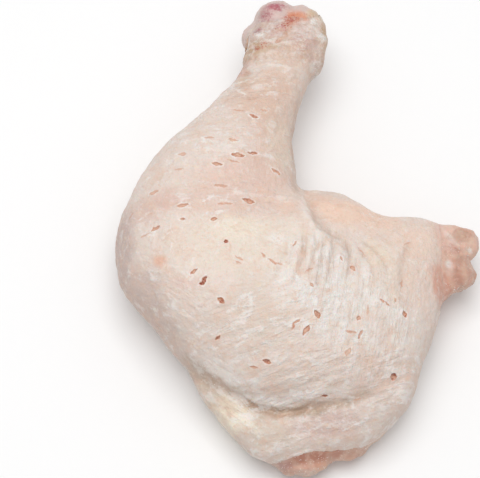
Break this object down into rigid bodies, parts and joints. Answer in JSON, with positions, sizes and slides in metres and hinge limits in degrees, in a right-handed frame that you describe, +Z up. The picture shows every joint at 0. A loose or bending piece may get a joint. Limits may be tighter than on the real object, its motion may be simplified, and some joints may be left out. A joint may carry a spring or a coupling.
{
  "type": "chicken leg quarter",
  "caption": "Raw chicken leg quarter lying skin side up: a bent drumstick and thigh in pale loose skin, with bare lean at the cut hip end and along the lower edge.",
  "frame": {"origin": "under the middle of the leg's bounding box, on the surface that it lies on", "axes": "+Y from the loose lower edge of the thigh to the joint at the end of the shin, +X from the knee to the cut hip end, +Z up out of the skin side"},
  "size_m": [0.1412, 0.1904, 0.0483],
  "materials": {
    "raw_skin": "pale cream to pink raw skin, damp, with white frosted patches, creases and pricked slits",
    "raw_lean": "pink-brown raw lean, moist and slightly translucent, with flecks of frost",
    "gristle": "smooth pinkish-grey gristle with red blood spots"
  },
  "bodies": {
    "root": {"skin": "raw_skin", "meat": "raw_lean", "hock_joint": "gristle"}
  },
  "joints": []
}
